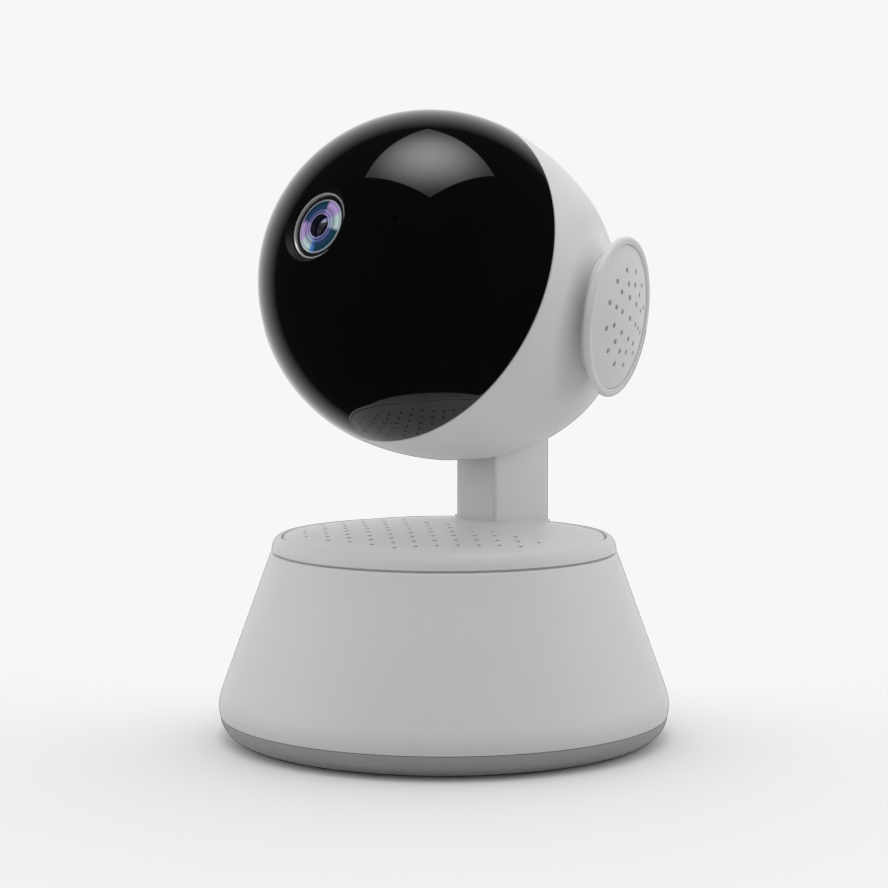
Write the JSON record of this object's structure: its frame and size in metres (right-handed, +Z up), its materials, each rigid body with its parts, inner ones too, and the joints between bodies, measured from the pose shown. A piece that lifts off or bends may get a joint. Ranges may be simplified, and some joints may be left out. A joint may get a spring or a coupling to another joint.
{
  "type": "pan and tilt security camera",
  "caption": "Indoor security camera: egg-shaped tilting head with a dark spherical front and side grilles, on a post that pans on a round tapering base.",
  "frame": {"origin": "centre of the round footprint, on the surface the feet stand on", "axes": "+Z up, the lens looks towards -Y, the ears point along +X and -X, the power inlet is at +Y"},
  "size_m": [0.0908, 0.0908, 0.125],
  "materials": {
    "shell_white": "fine satin, off-white",
    "button_grey": "satin",
    "cover_grey": "satin grey",
    "foot_rubber": "matte",
    "seal_rubber": "matte",
    "screw_steel": "plain",
    "ballast_steel": "plain",
    "motor_steel": "plain",
    "spring_steel": "plain",
    "axle_steel": "ground",
    "socket_steel": "bright",
    "insert_brass": "turned",
    "board_green": "solder mask",
    "board_black": "solder mask",
    "black_plastic": "matte",
    "shield_dark": "matte",
    "frame_black": "matte",
    "barrel_black": "anodised black",
    "gear_white": "natural",
    "mask_black": "polished, almost black",
    "chip_black": "moulded",
    "led_dark": "clear dark lens",
    "trim_chrome": "polished",
    "coated_glass": "violet-green anti-reflection coating",
    "inner_coated_glass": "violet coating"
  },
  "bodies": {
    "base": {"base_housing": "shell_white", "base_cover": "cover_grey", "rubber_feet": "foot_rubber", "cover_screws": "screw_steel", "ballast_plate": "ballast_steel", "tripod_insert": "insert_brass", "cap_ring": "shell_white", "main_board": "board_green", "board_screws": "screw_steel", "power_inlet": "socket_steel", "card_socket": "socket_steel", "button_switch": "black_plastic", "pan_motor": "motor_steel", "pan_motor_screws": "screw_steel", "pan_bearing": "gear_white", "glide_ring": "gear_white", "base_speaker": "black_plastic"},
    "turntable": {"turntable_disc": "shell_white", "pan_gear": "gear_white", "pan_clip": "spring_steel", "post": "shell_white", "post_back_cover": "shell_white", "post_screws": "screw_steel", "tilt_gear": "gear_white", "gear_screws": "screw_steel", "slot_shield": "shield_dark", "post_bush_right": "gear_white", "post_bush_left": "gear_white"},
    "head": {"rear_shell": "shell_white", "front_mask": "mask_black", "mask_seal": "seal_rubber", "head_frame": "frame_black", "frame_screws": "screw_steel", "tilt_axle": "axle_steel", "tilt_motor": "motor_steel", "sensor_board": "board_green", "image_sensor": "chip_black", "lens_holder": "black_plastic", "lens_barrel": "barrel_black", "lens_trim": "trim_chrome", "front_glass": "coated_glass", "inner_glass": "inner_coated_glass", "board_spacers": "insert_brass", "ir_board": "board_black", "ir_board_screws": "screw_steel", "ir_leds": "led_dark", "light_sensor": "chip_black", "ear_housing_right": "shell_white", "ear_housing_left": "shell_white", "ear_grille_right": "shell_white", "ear_grille_left": "shell_white", "ear_speaker_right": "black_plastic", "ear_speaker_left": "black_plastic"},
    "pan_pinion": {"pan_pinion": "gear_white"},
    "tilt_pinion": {"tilt_pinion": "gear_white"},
    "reset_button": {"reset_button": "button_grey"}
  },
  "joints": [
    {"name": "pan", "type": "hinge", "parent": "base", "child": "turntable", "pos_m": [0, 0, 0.036], "axis": [0, 0, 1], "range_deg": [-175, 175]},
    {"name": "tilt", "type": "hinge", "parent": "turntable", "child": "head", "pos_m": [0, 0.01667, 0.08348], "axis": [-1, 0, 0], "range_deg": [-18, 35]},
    {"name": "pan_pinion_spin", "type": "hinge", "parent": "base", "child": "pan_pinion", "pos_m": [-0.02412, 0, 0.0319], "axis": [0, 0, 1], "range_deg": [-702, 702]},
    {"name": "tilt_pinion_spin", "type": "hinge", "parent": "head", "child": "tilt_pinion", "pos_m": [0.0063, 0.00834, 0.09537], "axis": [-1, 0, 0], "range_deg": [-56, 107]},
    {"name": "reset_press", "type": "slide", "parent": "base", "child": "reset_button", "axis": [0, -1, 0], "range_m": [0, 0.0005], "stiffness_N_per_m": 600}
  ],
  "couplings": [
    {"joint": "pan_pinion_spin", "follows": "pan", "ratio": -4},
    {"joint": "tilt_pinion_spin", "follows": "tilt", "ratio": 3}
  ]
}
